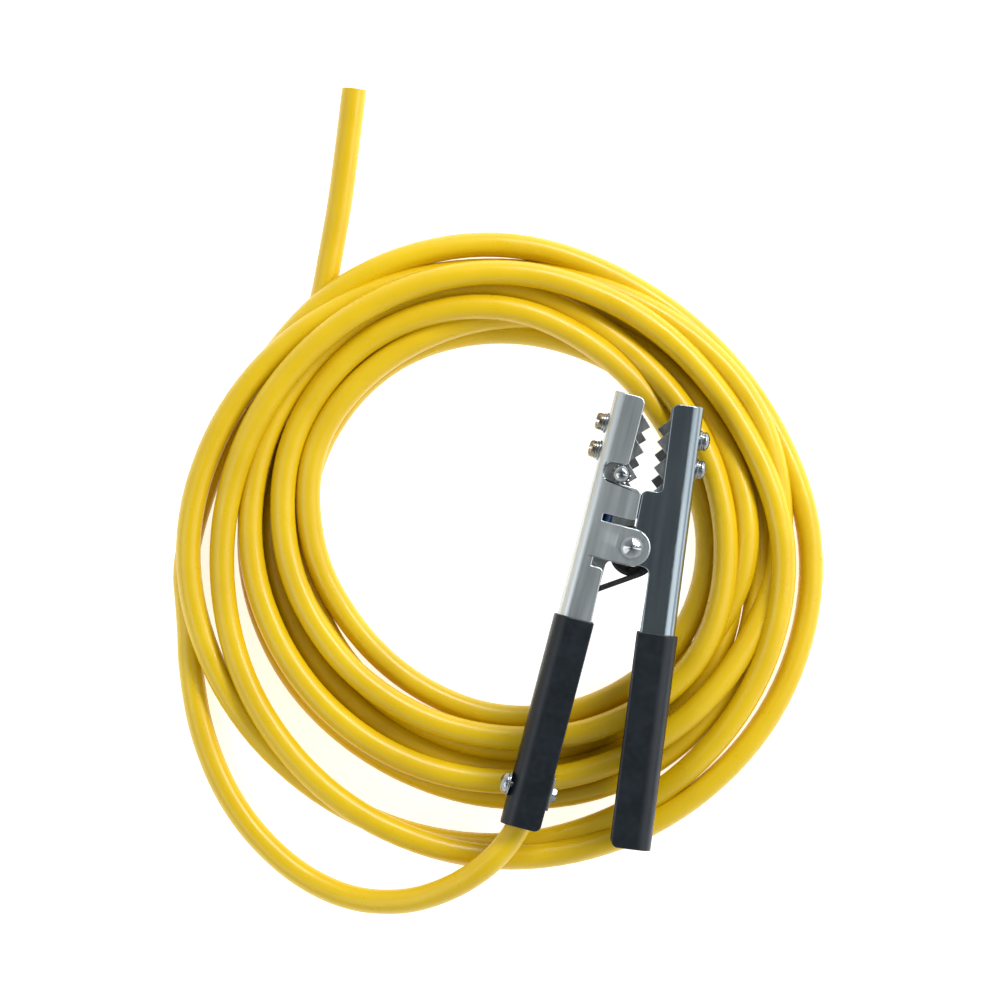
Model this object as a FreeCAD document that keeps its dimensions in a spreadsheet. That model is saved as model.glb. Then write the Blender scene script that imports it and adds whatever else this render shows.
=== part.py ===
"""Plier-type ground clamp with a coiled two-core cable, in millimetres.

The part's frame: the origin is the middle of the jaws' mouth, +Y runs along the clamp from the
handles to the jaws, +X is across the two arms and +Z is up, away from the cable coil underneath.

Both arms are the same stamping. An arm's own frame has u along X, from the outside of its web
towards the other arm, v along Y, from the jaw's tip to the grip's end, and Z across the channel,
with the notched flange on the low side.
"""
import FreeCAD, Part
import math
import os
import re

import Sketcher
from FreeCAD import Placement, Rotation, Vector

ARMS = ("cable_arm", "plain_arm")
X, Y, Z = Vector(1, 0, 0), Vector(0, 1, 0), Vector(0, 0, 1)

# Driving dimensions: alias, value in millimetres or degrees, what it is.
DIMENSIONS = [
    ("lean", 3.65, "lean of each closed arm towards the middle, degrees"),
    ("mouth_to_pivot", 46, "from the middle of the mouth to the pivot"),
    ("pivot_u", 27.2, "pivot from the outside of the web"),
    ("pivot_v", 73.8, "pivot from the jaw's tip"),
    ("wide", 20, "channel across its flanges"),
    ("thick", 1.5, "sheet steel"),
    ("blank", 31.2, "flange height before the edges are cut"),
    ("bend", 6, "outer radius of the channel's bends"),
    ("corner", 3.5, "rounding of the large corners of the flanges"),
    ("small_corner", 2.2, "rounding of the small corners of the flanges"),
    ("channel_end", 221.5, "length of the channel"),
    ("jaw_edge", 15.6, "flange height along the jaw"),
    ("throat_v", 44.6, "bottom of the mouth"),
    ("stop_gap", 0.5, "gap between the closed arms' stop blocks"),
    ("block_end_v", 60.7, "lower end of the notched flange's stop block"),
    ("notch_u", 4, "closed end of the terminal notch"),
    ("notch_wide", 9.7, "width of the terminal notch"),
    ("slot_u", 9.5, "closed end of the slots beside the lug"),
    ("lug_top_v", 64.4, "upper side of the raised lug"),
    ("lug_end_v", 83.2, "lower side of the raised lug"),
    ("slot_end_v", 87.4, "lower side of the lower slot"),
    ("handle_top_u", 16.4, "flange height just below the slots"),
    ("handle_edge", 17.2, "flange height along the handle"),
    ("ramp_start_u", 10.4, "foot of the raised lug's ramp"),
    ("ramp_end_u", 19.4, "top of the raised lug's ramp"),
    ("lug_gap", 0.3, "gap between the two arms' lugs"),
    ("plain_lug_radius", 8, "radius of the flat lug"),
    ("shoulder_v", 83.3, "shoulder below the flat lug"),
    ("pin_radius", 4, "pivot rivet's shank"),
    ("running_gap", 0.05, "radial clearance of the plain arm on the rivet"),
    ("rivet_head", 5.6, "radius of the rivet's heads"),
    ("rivet_dome", 3.2, "height of the rivet's heads"),
    ("head_gap", 0.3, "gap under the rivet's lower head"),
    ("bush_radius", 5.2, "outside radius of the spacer bush"),
    ("jaw_top_v", 6.9, "top of the jaw insert"),
    ("jaw_half", 8.4, "half width of the jaw insert"),
    ("tooth_pitch", 13, "from tooth to tooth along one flange"),
    ("tooth_deep", 6.5, "depth of a tooth"),
    ("tip_u", 21.3, "height of the tooth tips"),
    ("screw_v", 16.7, "first jaw screw from the tip"),
    ("screw_step", 14.1, "from the first jaw screw to the second"),
    ("bolt_radius", 2.5, "jaw screw's shank"),
    ("bolt_hole", 2.7, "jaw screw's holes"),
    ("bolt_end_u", 8, "end of the jaw screws"),
    ("washer_radius", 5.25, "flat washer"),
    ("washer_thick", 1, "flat washer"),
    ("lock_radius", 4.6, "spring washer"),
    ("lock_thick", 1.4, "spring washer"),
    ("cable_head_radius", 4.3, "cheese heads on the cable arm"),
    ("cable_head_high", 3.6, "cheese heads on the cable arm"),
    ("plain_head_radius", 4.75, "pan heads on the plain arm"),
    ("plain_head_high", 2.9, "pan heads on the plain arm"),
    ("head_slot", 1.2, "screwdriver slot's width"),
    ("slot_deep", 1.6, "screwdriver slot's depth"),
    ("nut_flat", 8, "jaw nut across its flats"),
    ("nut_thick", 4, "jaw nut"),
    ("nut_gap", 0.15, "jaw nut off the insert, clear of its rounding"),
    ("terminal_u", 13.2, "terminal screw from the web"),
    ("terminal_v", 39.7, "terminal screw from the tip"),
    ("stud_radius", 2, "terminal screw's and clamp screw's shank"),
    ("terminal_head", 4.4, "radius of the terminal screw's dome"),
    ("terminal_dome", 3.8, "height of the terminal screw's dome"),
    ("terminal_washer", 4.7, "radius of the toothed washer and of the ring terminal"),
    ("small_nut_flat", 7, "terminal nut and clamp nut across their flats"),
    ("terminal_nut_thick", 3.2, "terminal nut"),
    ("tongue_u", 9.2, "ring terminal's tongue, side nearest the web"),
    ("tongue_wide", 5, "ring terminal's tongue"),
    ("barrel_u", 4.2, "ring terminal's barrel, side nearest the web"),
    ("barrel_wide", 10.6, "ring terminal's barrel over both cores"),
    ("barrel_v", 47.7, "upper end of the ring terminal's barrel"),
    ("barrel_end_v", 57, "lower end of the ring terminal's barrel"),
    ("barrel_high", 5.9, "ring terminal's barrel"),
    ("grip_top_v", 115, "upper end of the grip"),
    ("grip_end_v", 223, "lower end of the grip"),
    ("grip_thick", 1.6, "grip's wall over the channel"),
    ("grip_edge", 18.7, "grip's lip over the flange edges"),
    ("wire", 2.5, "spring wire"),
    ("spring_radius", 10.4, "mean radius of the spring's turns"),
    ("spring_high", 10.5, "from the first turn's middle to the last one's"),
    ("spring_turns", 3.943, "turns between the legs"),
    ("spring_x", 1.6, "middle of the turns from the pivot"),
    ("spring_y", -3.2, "middle of the turns from the pivot"),
    ("spring_start", 280, "where the lower leg leaves the turns, degrees"),
    ("upper_leg", 34.5, "length of the leg in the cable arm"),
    ("lower_leg", 19.6, "length of the leg in the plain arm"),
    ("relief_v", 203, "clamp screw of the strain relief from the tip"),
    ("relief_z", -6.2, "clamp screw beside the cable"),
    ("relief_head", 5.4, "radius of the clamp screw's dome"),
    ("relief_dome", 4.4, "height of the clamp screw's dome"),
    ("saddle_long", 17, "saddle along the handle"),
    ("saddle_thick", 1.2, "saddle plate"),
    ("low_nut_thick", 2.2, "clamp nut"),
    ("cable", 12.5, "diameter of the cable's jacket"),
    ("core", 4.7, "diameter of a core"),
    ("cable_u", 11.3, "jacket in the handle from the web"),
    ("cable_z", 2.1, "jacket in the handle, below the middle"),
    ("jacket_v", 165, "where the jacket is stripped"),
    ("lead_v", 195, "where the free lead starts under the saddle"),
    ("coil_top", -12, "top of the coil, just under the grips"),
    ("coil_high", 25, "two turns lying on each other"),
    ("coil_edge", 6, "rounding of the coil's upper edges"),
]

doc = FreeCAD.newDocument("ground_clamp")
dims = doc.addObject("Spreadsheet::Sheet", "dims")
for row, (alias, value, meaning) in enumerate(DIMENSIONS, 1):
    dims.set(f"A{row}", meaning)
    dims.set(f"B{row}", str(value))
    dims.setAlias(f"B{row}", alias)
doc.recompute()
nodes = {}


def size(expression):
    """The value of an expression in the sheet's aliases."""
    return float(dims.evalExpression(expression))


def bound(expression):
    """The expression as another object sees it, with each alias looked up in the sheet."""
    aliases = {alias for alias, _value, _meaning in DIMENSIONS}
    return re.sub(r"[a-z_]+", lambda word: "<<dims>>." * (word[0] in aliases) + word[0], expression)


def bind(thing, name, expression):
    """Ties one property to the sheet."""
    thing.setExpression(name, bound(expression))


def node(label, thing):
    """Names a finished sub-part."""
    thing.Label = label
    nodes[label] = thing
    return thing


# ---- places ---------------------------------------------------------------------------------


def arm_place(arm):
    """Where an arm's own frame lies in the part's frame."""
    if arm == "cable_arm":
        turn = Rotation(Z, -size("lean")) * Rotation(X, 180)
    else:
        turn = Rotation(Z, 180 + size("lean"))
    pivot = Vector(size("pivot_u"), size("pivot_v"), 0)
    return Placement(Vector(0, -size("mouth_to_pivot"), 0) - turn.multVec(pivot), turn)


def along(arm, start, direction):
    """The placement of something that stands at start in an arm's frame and points along direction."""
    return arm_place(arm) * Placement(Vector(*start), Rotation(Z, direction))


# ---- sketches and features --------------------------------------------------------------------


def sketch_on(body, role, name):
    """An empty sketch on one of the body's own origin planes."""
    sketch = body.newObject("Sketcher::SketchObject", name)
    plane = [feature for feature in body.Origin.OriginFeatures if feature.Role == role][0]
    sketch.AttachmentSupport = [(plane, "")]
    sketch.MapMode = "FlatFace"
    return sketch


def outline(sketch, corners):
    """Draws a closed outline through corners given as pairs of expressions."""
    places = [Vector(size(across), size(up), 0) for across, up in corners]
    count = len(places)
    first = sketch.GeometryCount
    for number in range(count):
        sketch.addGeometry(Part.LineSegment(places[number], places[(number + 1) % count]))
    for number in range(count):
        following = first + (number + 1) % count
        sketch.addConstraint(Sketcher.Constraint("Coincident", first + number, 2, following, 1))
    for number, corner in enumerate(corners):
        for kind, expression in zip(("DistanceX", "DistanceY"), corner):
            index = sketch.addConstraint(
                Sketcher.Constraint(kind, -1, 1, first + number, 1, size(expression))
            )
            bind(sketch, f"Constraints[{index}]", expression)


def hole(sketch, across, up, radius):
    """Draws a circle whose place and radius are expressions."""
    centre = Vector(size(across), size(up), 0)
    curve = sketch.addGeometry(Part.Circle(centre, Z, size(radius)))
    for kind, expression in (("DistanceX", across), ("DistanceY", up)):
        index = sketch.addConstraint(Sketcher.Constraint(kind, -1, 1, curve, 3, size(expression)))
        bind(sketch, f"Constraints[{index}]", expression)
    index = sketch.addConstraint(Sketcher.Constraint("Radius", curve, size(radius)))
    bind(sketch, f"Constraints[{index}]", radius)


def pad_between(body, name, corners, start, end):
    """Pads a section drawn across the arm (u, z) from v = start to v = end."""
    sketch = sketch_on(body, "XZ_Plane", name + "_section")
    bind(sketch, ".AttachmentOffset.Base.z", f"-({start})")
    outline(sketch, corners)
    pad = body.newObject("PartDesign::Pad", name)
    pad.Profile = sketch
    pad.Reversed = True
    bind(pad, "Length", f"{end} - ({start})")
    doc.recompute()
    return pad


def cut(body, name, sketch, depth, reverse=False, both_ways=False):
    """Pockets a sketch to a depth, against its normal, along it, or half each way."""
    before = body.Shape.Volume
    pocket = body.newObject("PartDesign::Pocket", name)
    pocket.Profile = sketch
    pocket.Reversed = reverse
    pocket.Midplane = both_ways
    bind(pocket, "Length", depth)
    doc.recompute()
    if body.Shape.Volume >= before:
        raise RuntimeError(name + " cuts nothing")
    return pocket


def round_edges(body, name, radius, places, axis):
    """Fillets the straight edges along axis that pass through the places, each given as
    expressions or None for any value."""
    shape = body.Shape
    chosen = []
    for number, edge in enumerate(shape.Edges, 1):
        if len(edge.Vertexes) != 2:
            continue
        ends = [vertex.Point for vertex in edge.Vertexes]
        run = ends[1] - ends[0]
        if abs(abs(run.normalize().dot(axis)) - 1) > 1e-6:
            continue
        middle = (ends[0] + ends[1]) * 0.5
        for place in places:
            off = [
                abs(value - size(wanted)) if wanted is not None else 0
                for value, wanted in zip(middle, place)
            ]
            if max(off) < 0.05:
                chosen.append(f"Edge{number}")
    if len(chosen) < len(places):
        raise RuntimeError(f"{name} finds {len(chosen)} edges")
    rounded = body.Tip
    fillet = body.newObject("PartDesign::Fillet", name)
    fillet.Base = (rounded, chosen)
    bind(fillet, "Radius", radius)
    doc.recompute()
    return fillet


# ---- plain solids -----------------------------------------------------------------------------


def cylinder(name, radius, high, place):
    """A cylinder that stands on its placement's XY plane."""
    thing = doc.addObject("Part::Cylinder", name)
    bind(thing, "Radius", radius)
    bind(thing, "Height", high)
    thing.Placement = place
    return thing


def dome(name, radius, high, place):
    """Half an ellipsoid that bulges along its placement's Z axis."""
    thing = doc.addObject("Part::Ellipsoid", name)
    bind(thing, "Radius1", high)
    bind(thing, "Radius2", radius)
    bind(thing, "Radius3", radius)
    thing.Angle1 = 0
    thing.Angle2 = 90
    thing.Placement = place
    return thing


def box(name, low, high, place):
    """A box between two corners given as expressions in the placement's frame."""
    thing = doc.addObject("Part::Box", name)
    for prop, near, far in zip(("Length", "Width", "Height"), low, high):
        bind(thing, prop, f"{far} - ({near})")
    thing.Placement = place * Placement(Vector(*[size(value) for value in low]), Rotation())
    return thing


def fuse(name, things):
    """One solid of several that overlap."""
    thing = doc.addObject("Part::MultiFuse", name)
    thing.Shapes = things
    thing.Refine = True
    return thing


def subtract(name, base, tool):
    """The base without the tool."""
    thing = doc.addObject("Part::Cut", name)
    thing.Base = base
    thing.Tool = tool
    return thing


def washer(name, radius, bore, thick, place):
    """A flat ring."""
    disc = cylinder(name + "_disc", radius, thick, place)
    return subtract(name, disc, cylinder(name + "_bore", bore, thick, place))


def nut(name, flats, bore, thick, place):
    """A hexagon nut with a plain bore."""
    prism = doc.addObject("Part::Prism", name + "_hexagon")
    prism.Polygon = 6
    bind(prism, "Circumradius", f"{flats} / sqrt(3)")
    bind(prism, "Height", thick)
    prism.Placement = place
    return subtract(name, prism, cylinder(name + "_bore", bore, thick, place))


def group(label, things):
    """Identical pieces as one node of separate solids."""
    thing = doc.addObject("Part::Compound", label)
    thing.Links = things
    return node(label, thing)


# ---- the arms ---------------------------------------------------------------------------------


def block_edge(v):
    """Height of the stop block's edge, parallel to the middle of the closed clamp."""
    return f"pivot_u - stop_gap / 2 / cos(lean) - (pivot_v - ({v})) * tan(lean)"


FAR = "3 * wide"  # well outside the channel


def channel(arm):
    """The stamped steel channel with its two unlike flanges."""
    body = doc.addObject("PartDesign::Body", arm + "_channel")
    inner, inside = "thick", "wide / 2 - thick"
    pad_between(
        body,
        arm + "_blank",
        [
            ("0", "-wide / 2"), ("blank", "-wide / 2"), ("blank", f"-({inside})"), (inner, f"-({inside})"),
            (inner, inside), ("blank", inside), ("blank", "wide / 2"), ("0", "wide / 2"),
        ],
        "0",
        "channel_end",
    )
    outer_bends = [("0", None, "wide / 2"), ("0", None, "-wide / 2")]
    inner_bends = [(inner, None, inside), (inner, None, f"-({inside})")]
    round_edges(body, arm + "_outer_bends", "bend", outer_bends, Y)
    round_edges(body, arm + "_inner_bends", "bend - thick", inner_bends, Y)

    notch_top = "terminal_v - notch_wide / 2"
    notch_end = "terminal_v + notch_wide / 2"
    notched = sketch_on(body, "XY_Plane", arm + "_notched_edge")
    outline(
        notched,
        [
            ("jaw_edge", "-1"), ("jaw_edge", notch_top), ("notch_u", notch_top), ("notch_u", notch_end),
            (block_edge(notch_end), notch_end), (block_edge("block_end_v"), "block_end_v"),
            ("slot_u", "block_end_v"), ("slot_u", "lug_top_v"), ("ramp_start_u", "lug_top_v"),
            ("ramp_start_u", "lug_end_v"), ("slot_u + 0.5", "lug_end_v"), ("slot_u + 0.5", "slot_end_v"),
            ("handle_top_u", "slot_end_v"), ("handle_edge", "grip_top_v"),
            ("handle_edge", "channel_end + 1"), (FAR, "channel_end + 1"), (FAR, "-1"),
        ],
    )
    cut(body, arm + "_notched_flange", notched, "wide")

    lug_side = "sqrt(plain_lug_radius^2 - (stop_gap)^2)"
    plain = sketch_on(body, "XY_Plane", arm + "_plain_edge")
    outline(
        plain,
        [
            ("jaw_edge", "-1"), ("jaw_edge", "throat_v"), (block_edge("throat_v"), "throat_v"),
            ("pivot_u - stop_gap", f"pivot_v - {lug_side}"),
            ("pivot_u + plain_lug_radius", f"pivot_v - {lug_side}"),
            ("pivot_u + plain_lug_radius", f"pivot_v + {lug_side}"),
            ("pivot_u - stop_gap * 2", f"pivot_v + {lug_side}"), ("handle_edge", "shoulder_v"),
            ("handle_edge", "channel_end + 1"), (FAR, "channel_end + 1"), (FAR, "-1"),
        ],
    )
    # The blank is too low for the flat lug, so the lug is padded on after the edge is cut.
    cut(body, arm + "_plain_flange", plain, "wide", reverse=True)
    lug = sketch_on(body, "XY_Plane", arm + "_flat_lug_outline")
    bind(lug, ".AttachmentOffset.Base.z", inside)
    hole(lug, "pivot_u", "pivot_v", "plain_lug_radius")
    flat_lug = body.newObject("PartDesign::Pad", arm + "_flat_lug")
    flat_lug.Profile = lug
    bind(flat_lug, "Length", "thick")
    doc.recompute()

    root, raised = "wide / 2", "wide / 2 + lug_gap + thick"
    end = "pivot_u + (lug_end_v - lug_top_v) / 2"
    pad_between(
        body,
        arm + "_raised_lug",
        [
            ("slot_u - 1", f"-({root}) + thick"), ("ramp_start_u", f"-({root}) + thick"),
            ("ramp_end_u", f"-({raised}) + thick"), (end, f"-({raised}) + thick"),
            (end, f"-({raised})"), ("ramp_end_u", f"-({raised})"),
            ("ramp_start_u", f"-({root})"), ("slot_u - 1", f"-({root})"),
        ],
        "lug_top_v",
        "lug_end_v",
    )
    lug_middle = f"-({raised}) + thick / 2"
    lug_ends = [(end, "lug_top_v", lug_middle), (end, "lug_end_v", lug_middle)]
    round_edges(body, arm + "_lug_end", "(lug_end_v - lug_top_v) / 2 - 0.01", lug_ends, Z)

    low, high = "-wide / 2 + thick / 2", "wide / 2 - thick / 2"
    jaw_tips = [("jaw_edge", "0", low), ("jaw_edge", "0", high)]
    blocks = [
        (block_edge(notch_end), notch_end, low), (block_edge("throat_v"), "throat_v", high),
        ("handle_edge", "shoulder_v", high),
    ]
    round_edges(body, arm + "_corners", "corner", jaw_tips + blocks, Z)
    notch_ends = [("notch_u", notch_top, None), ("notch_u", notch_end, None)]
    round_edges(body, arm + "_notch_end", "notch_wide / 2 - 0.05", notch_ends, Z)
    small = [
        ("jaw_edge", notch_top, low), ("jaw_edge", "throat_v", high),
        (block_edge("block_end_v"), "block_end_v", low), ("handle_top_u", "slot_end_v", low),
    ]
    round_edges(body, arm + "_small_corners", "small_corner", small, Z)

    pivot = sketch_on(body, "XY_Plane", arm + "_pivot_circle")
    clearance = " + running_gap" if arm == "plain_arm" else ""
    hole(pivot, "pivot_u", "pivot_v", "pin_radius" + clearance)
    cut(body, arm + "_pivot_holes", pivot, "2 * wide", both_ways=True)

    web = sketch_on(body, "YZ_Plane", arm + "_web_circles")
    hole(web, "screw_v", "0", "bolt_hole")
    hole(web, "screw_v + screw_step", "0", "bolt_hole")
    if arm == "cable_arm":
        hole(web, "relief_v", "relief_z", "stud_radius + 0.1")
    cut(body, arm + "_web_holes", web, "bend", reverse=True)
    body.Placement = arm_place(arm)
    node(arm + "_channel", body)


def grip(arm):
    """The vinyl grip over the handle's channel, with lips over the edges of the steel."""
    body = doc.addObject("PartDesign::Body", arm + "_grip")
    out, half = "-grip_thick", "wide / 2 + grip_thick"
    inside = "wide / 2 - thick"
    pad_between(
        body,
        arm + "_sleeve",
        [
            (out, f"-({half})"), ("grip_edge", f"-({half})"), ("grip_edge", f"-({inside})"),
            ("handle_edge", f"-({inside})"), ("handle_edge", "-wide / 2"), ("0", "-wide / 2"),
            ("0", "wide / 2"), ("handle_edge", "wide / 2"), ("handle_edge", inside),
            ("grip_edge", inside), ("grip_edge", half), (out, half),
        ],
        "grip_top_v",
        "channel_end",
    )
    round_edges(body, arm + "_grip_inner", "bend", [("0", None, "wide / 2"), ("0", None, "-wide / 2")], Y)
    pad_between(
        body,
        arm + "_grip_end",
        [
            (out, f"-({half})"), ("grip_edge", f"-({half})"), ("grip_edge", f"-({inside})"),
            ("thick", f"-({inside})"), ("thick", inside), ("grip_edge", inside),
            ("grip_edge", half), (out, half),
        ],
        "channel_end",
        "grip_end_v",
    )
    outside = [(out, None, half), (out, None, f"-({half})")]
    round_edges(body, arm + "_grip_outer", "bend + grip_thick", outside, Y)
    lip = "(wide - thick + grip_thick) / 2"
    ends = [("grip_edge", "grip_end_v", lip), ("grip_edge", "grip_end_v", f"-({lip})")]
    round_edges(body, arm + "_grip_corner", "corner", ends, Z)
    if arm == "cable_arm":
        web = sketch_on(body, "YZ_Plane", arm + "_grip_circle")
        hole(web, "relief_v", "relief_z", "stud_radius + 0.1")
        cut(body, arm + "_grip_hole", web, "3 * grip_thick", both_ways=True)
    body.Placement = arm_place(arm)
    node(arm + "_grip", body)


def jaw(arm):
    """The toothed jaw insert: a narrower channel whose flanges carry staggered teeth."""
    body = doc.addObject("PartDesign::Body", arm + "_jaw")
    inside = "jaw_half - thick"
    jaw_end = "jaw_top_v + 3 * tooth_pitch"
    pad_between(
        body,
        arm + "_insert",
        [
            ("thick", "-jaw_half"), ("tip_u", "-jaw_half"), ("tip_u", f"-({inside})"),
            ("2 * thick", f"-({inside})"), ("2 * thick", inside), ("tip_u", inside),
            ("tip_u", "jaw_half"), ("thick", "jaw_half"),
        ],
        "jaw_top_v",
        jaw_end,
    )
    backs = [("thick", None, "jaw_half"), ("thick", None, "-jaw_half")]
    round_edges(body, arm + "_insert_back", "bend - thick", backs, Y)
    hollows = [("2 * thick", None, inside), ("2 * thick", None, f"-({inside})")]
    round_edges(body, arm + "_insert_hollow", "bend - 2 * thick", hollows, Y)
    for side, first in (("notched", 0), ("plain", 1)):
        teeth = [("tip_u + 2", "jaw_top_v - 1"), ("tip_u - tooth_deep", "jaw_top_v - 1")]
        if first:
            teeth.append(("tip_u - tooth_deep", "jaw_top_v + tooth_pitch / 2"))
        else:
            teeth.append(("tip_u - tooth_deep", "jaw_top_v"))
        for step in range(1 + first, 7):
            depth = "0" if (step + first) % 2 else "tooth_deep"
            teeth.append((f"tip_u - {depth}", f"jaw_top_v + {step} * tooth_pitch / 2"))
        teeth.append((teeth[-1][0], f"{jaw_end} + 1"))
        teeth.append(("tip_u + 2", f"{jaw_end} + 1"))
        sketch = sketch_on(body, "XY_Plane", f"{arm}_{side}_teeth_outline")
        outline(sketch, teeth)
        cut(body, f"{arm}_{side}_teeth", sketch, "wide", reverse=bool(first))
    web = sketch_on(body, "YZ_Plane", arm + "_insert_circles")
    hole(web, "screw_v", "0", "bolt_hole")
    hole(web, "screw_v + screw_step", "0", "bolt_hole")
    cut(body, arm + "_insert_holes", web, "3 * thick", reverse=True)
    if arm == "cable_arm":
        flange = sketch_on(body, "XY_Plane", arm + "_terminal_circle")
        hole(flange, "terminal_u", "terminal_v", "stud_radius")
        cut(body, arm + "_terminal_hole", flange, "wide")
    body.Placement = arm_place(arm)
    node(arm + "_jaw", body)


def jaw_fasteners(arm):
    """Two screws with flat and spring washers outside the web and nuts inside the insert."""
    screws, flats, locks, nuts = [], [], [], []
    short = arm.split("_")[0]
    head_radius, head_high = f"{short}_head_radius", f"{short}_head_high"
    for number in range(2):
        v = size(f"screw_v + {number} * screw_step")
        name = f"{arm}_{number + 1}"
        outward = along(arm, (0, v, 0), -X)
        seat = outward * Placement(Vector(0, 0, size("washer_thick")), Rotation())
        head = outward * Placement(Vector(0, 0, size("washer_thick + lock_thick")), Rotation())
        flats.append(washer(name + "_flat", "washer_radius", "bolt_radius", "washer_thick", outward))
        locks.append(washer(name + "_lock", "lock_radius", "bolt_radius", "lock_thick", seat))
        shank = cylinder(
            name + "_shank",
            "bolt_radius",
            "bolt_end_u + washer_thick + lock_thick",
            along(arm, (size("bolt_end_u"), v, 0), -X),
        )
        if arm == "cable_arm":
            top = cylinder(name + "_head", head_radius, head_high, head)
            slot_low = ("-head_slot / 2", f"-{head_radius}", f"{head_high} - slot_deep")
            slot_high = ("head_slot / 2", head_radius, f"{head_high} + 1")
            whole = fuse(name + "_whole", [shank, top])
            slot = box(name + "_slot", slot_low, slot_high, head)
            screws.append(subtract(name + "_screw", whole, slot))
        else:
            top = dome(name + "_head", head_radius, head_high, head)
            screws.append(fuse(name + "_screw", [shank, top]))
        inward = along(arm, (size("2 * thick + nut_gap"), v, 0), X)
        nuts.append(nut(name + "_nut", "nut_flat", "bolt_radius", "nut_thick", inward))
    group(arm + "_jaw_screws", screws)
    group(arm + "_flat_washers", flats)
    group(arm + "_spring_washers", locks)
    group(arm + "_jaw_nuts", nuts)


# ---- the terminal and the cores ------------------------------------------------------------------


def terminal():
    """The screw on the cable arm's jaw that holds the crimped ring terminal of both cores."""
    arm = "cable_arm"
    u, v = size("terminal_u"), size("terminal_v")
    face, back = size("jaw_half"), size("jaw_half - thick")
    outward = along(arm, (u, v, -face), -Z)
    lock = size("washer_thick")
    node(
        "terminal_lock_washer",
        washer("terminal_lock", "terminal_washer", "stud_radius", "washer_thick", outward),
    )
    shank_start = along(arm, (u, v, -size("stud_radius")), -Z)
    shank = cylinder("terminal_shank", "stud_radius", "jaw_half + washer_thick - stud_radius", shank_start)
    head_place = outward * Placement(Vector(0, 0, lock), Rotation())
    head = dome("terminal_head_dome", "terminal_head", "terminal_dome", head_place)
    node("terminal_screw", fuse("terminal_screw_whole", [shank, head]))
    ring_place = along(arm, (u, v, -back), Z)
    ring = cylinder("terminal_ring", "terminal_washer", "washer_thick", ring_place)
    tongue = box(
        "terminal_tongue",
        ("tongue_u", "terminal_v + stud_radius", "-(jaw_half - thick)"),
        ("tongue_u + tongue_wide", "barrel_v + washer_thick", "-(jaw_half - thick) + washer_thick"),
        arm_place(arm),
    )
    barrel = box(
        "terminal_barrel",
        ("barrel_u", "barrel_v", "-(jaw_half - thick)"),
        ("barrel_u + barrel_wide", "barrel_end_v", "-(jaw_half - thick) + barrel_high"),
        arm_place(arm),
    )
    whole = fuse("terminal_lug", [ring, tongue, barrel])
    bore = cylinder("terminal_bore", "stud_radius", "washer_thick", ring_place)
    node("ring_terminal", subtract("ring_terminal_cut", whole, bore))
    nut_place = along(arm, (u, v, -back + lock), Z)
    node(
        "terminal_nut",
        nut("terminal_nut_cut", "small_nut_flat", "stud_radius", "terminal_nut_thick", nut_place),
    )


def tube(label, points, diameter):
    """A tube along straight runs joined by tangent arcs, each as large as its two runs allow."""
    share = 0.45
    edges, radii, start = [], [], points[0]
    for before, corner, after in zip(points, points[1:], points[2:]):
        inward, outward = corner - before, after - corner
        turn = inward.getAngle(outward)
        setback = share * min(inward.Length, outward.Length)
        radius = setback / math.tan(turn / 2)
        radii.append(radius)
        inward.normalize()
        outward.normalize()
        first, last = corner - inward * setback, corner + outward * setback
        bisector = (outward - inward).normalize()
        middle = corner + bisector * (radius / math.cos(turn / 2) - radius)
        edges.append(Part.LineSegment(start, first).toShape())
        edges.append(Part.Arc(first, middle, last).toShape())
        start = last
    edges.append(Part.LineSegment(start, points[-1]).toShape())
    path = Part.Wire(edges)
    circle = Part.Circle(points[0], points[1] - points[0], diameter / 2)
    shape = path.makePipeShell([Part.Wire([circle.toShape()])], True, False)
    section = math.pi * diameter**2 / 4
    print(label, "length %.1f" % path.Length, "volume ratio %.4f" % (shape.Volume / section / path.Length))
    print("   radii in diameters", ["%.1f" % (radius / diameter) for radius in radii])
    thing = doc.addObject("Part::Feature", label)
    thing.Shape = shape
    return node(label, thing)


def in_arm(points):
    """Points of the cable arm's frame in the part's frame."""
    place = arm_place("cable_arm")
    return [place.multVec(Vector(*point)) for point in points]


def cores():
    """The two insulated cores from the stripped jacket to the ring terminal, and the jacket's end."""
    u, jacket = size("cable_u"), size("jacket_v")
    apart = size("core") / 2 + 0.15
    deep = -(size("jaw_half - thick") - 3.3)
    blue_z, brown_z = size("cable_z") - apart, size("cable_z") + apart
    start = size("barrel_end_v")
    blue = [
        (12, start, deep), (12, start + 11, deep), (7.3, start + 28, deep + 0.5),
        (u, start + 50, blue_z), (u, jacket, blue_z),
    ]
    brown = [
        (6.9, start, deep), (6.9, start + 6, deep), (7.2, start + 30, brown_z),
        (u, start + 66, brown_z), (u, jacket, brown_z),
    ]
    tube("core_blue", in_arm(blue), size("core"))
    tube("core_brown", in_arm(brown), size("core"))
    place = along("cable_arm", (u, jacket, size("cable_z")), Y)
    node("cable_jacket_end", cylinder("jacket_end", "cable / 2", "lead_v - jacket_v", place))


# ---- the pivot ------------------------------------------------------------------------------------


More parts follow.
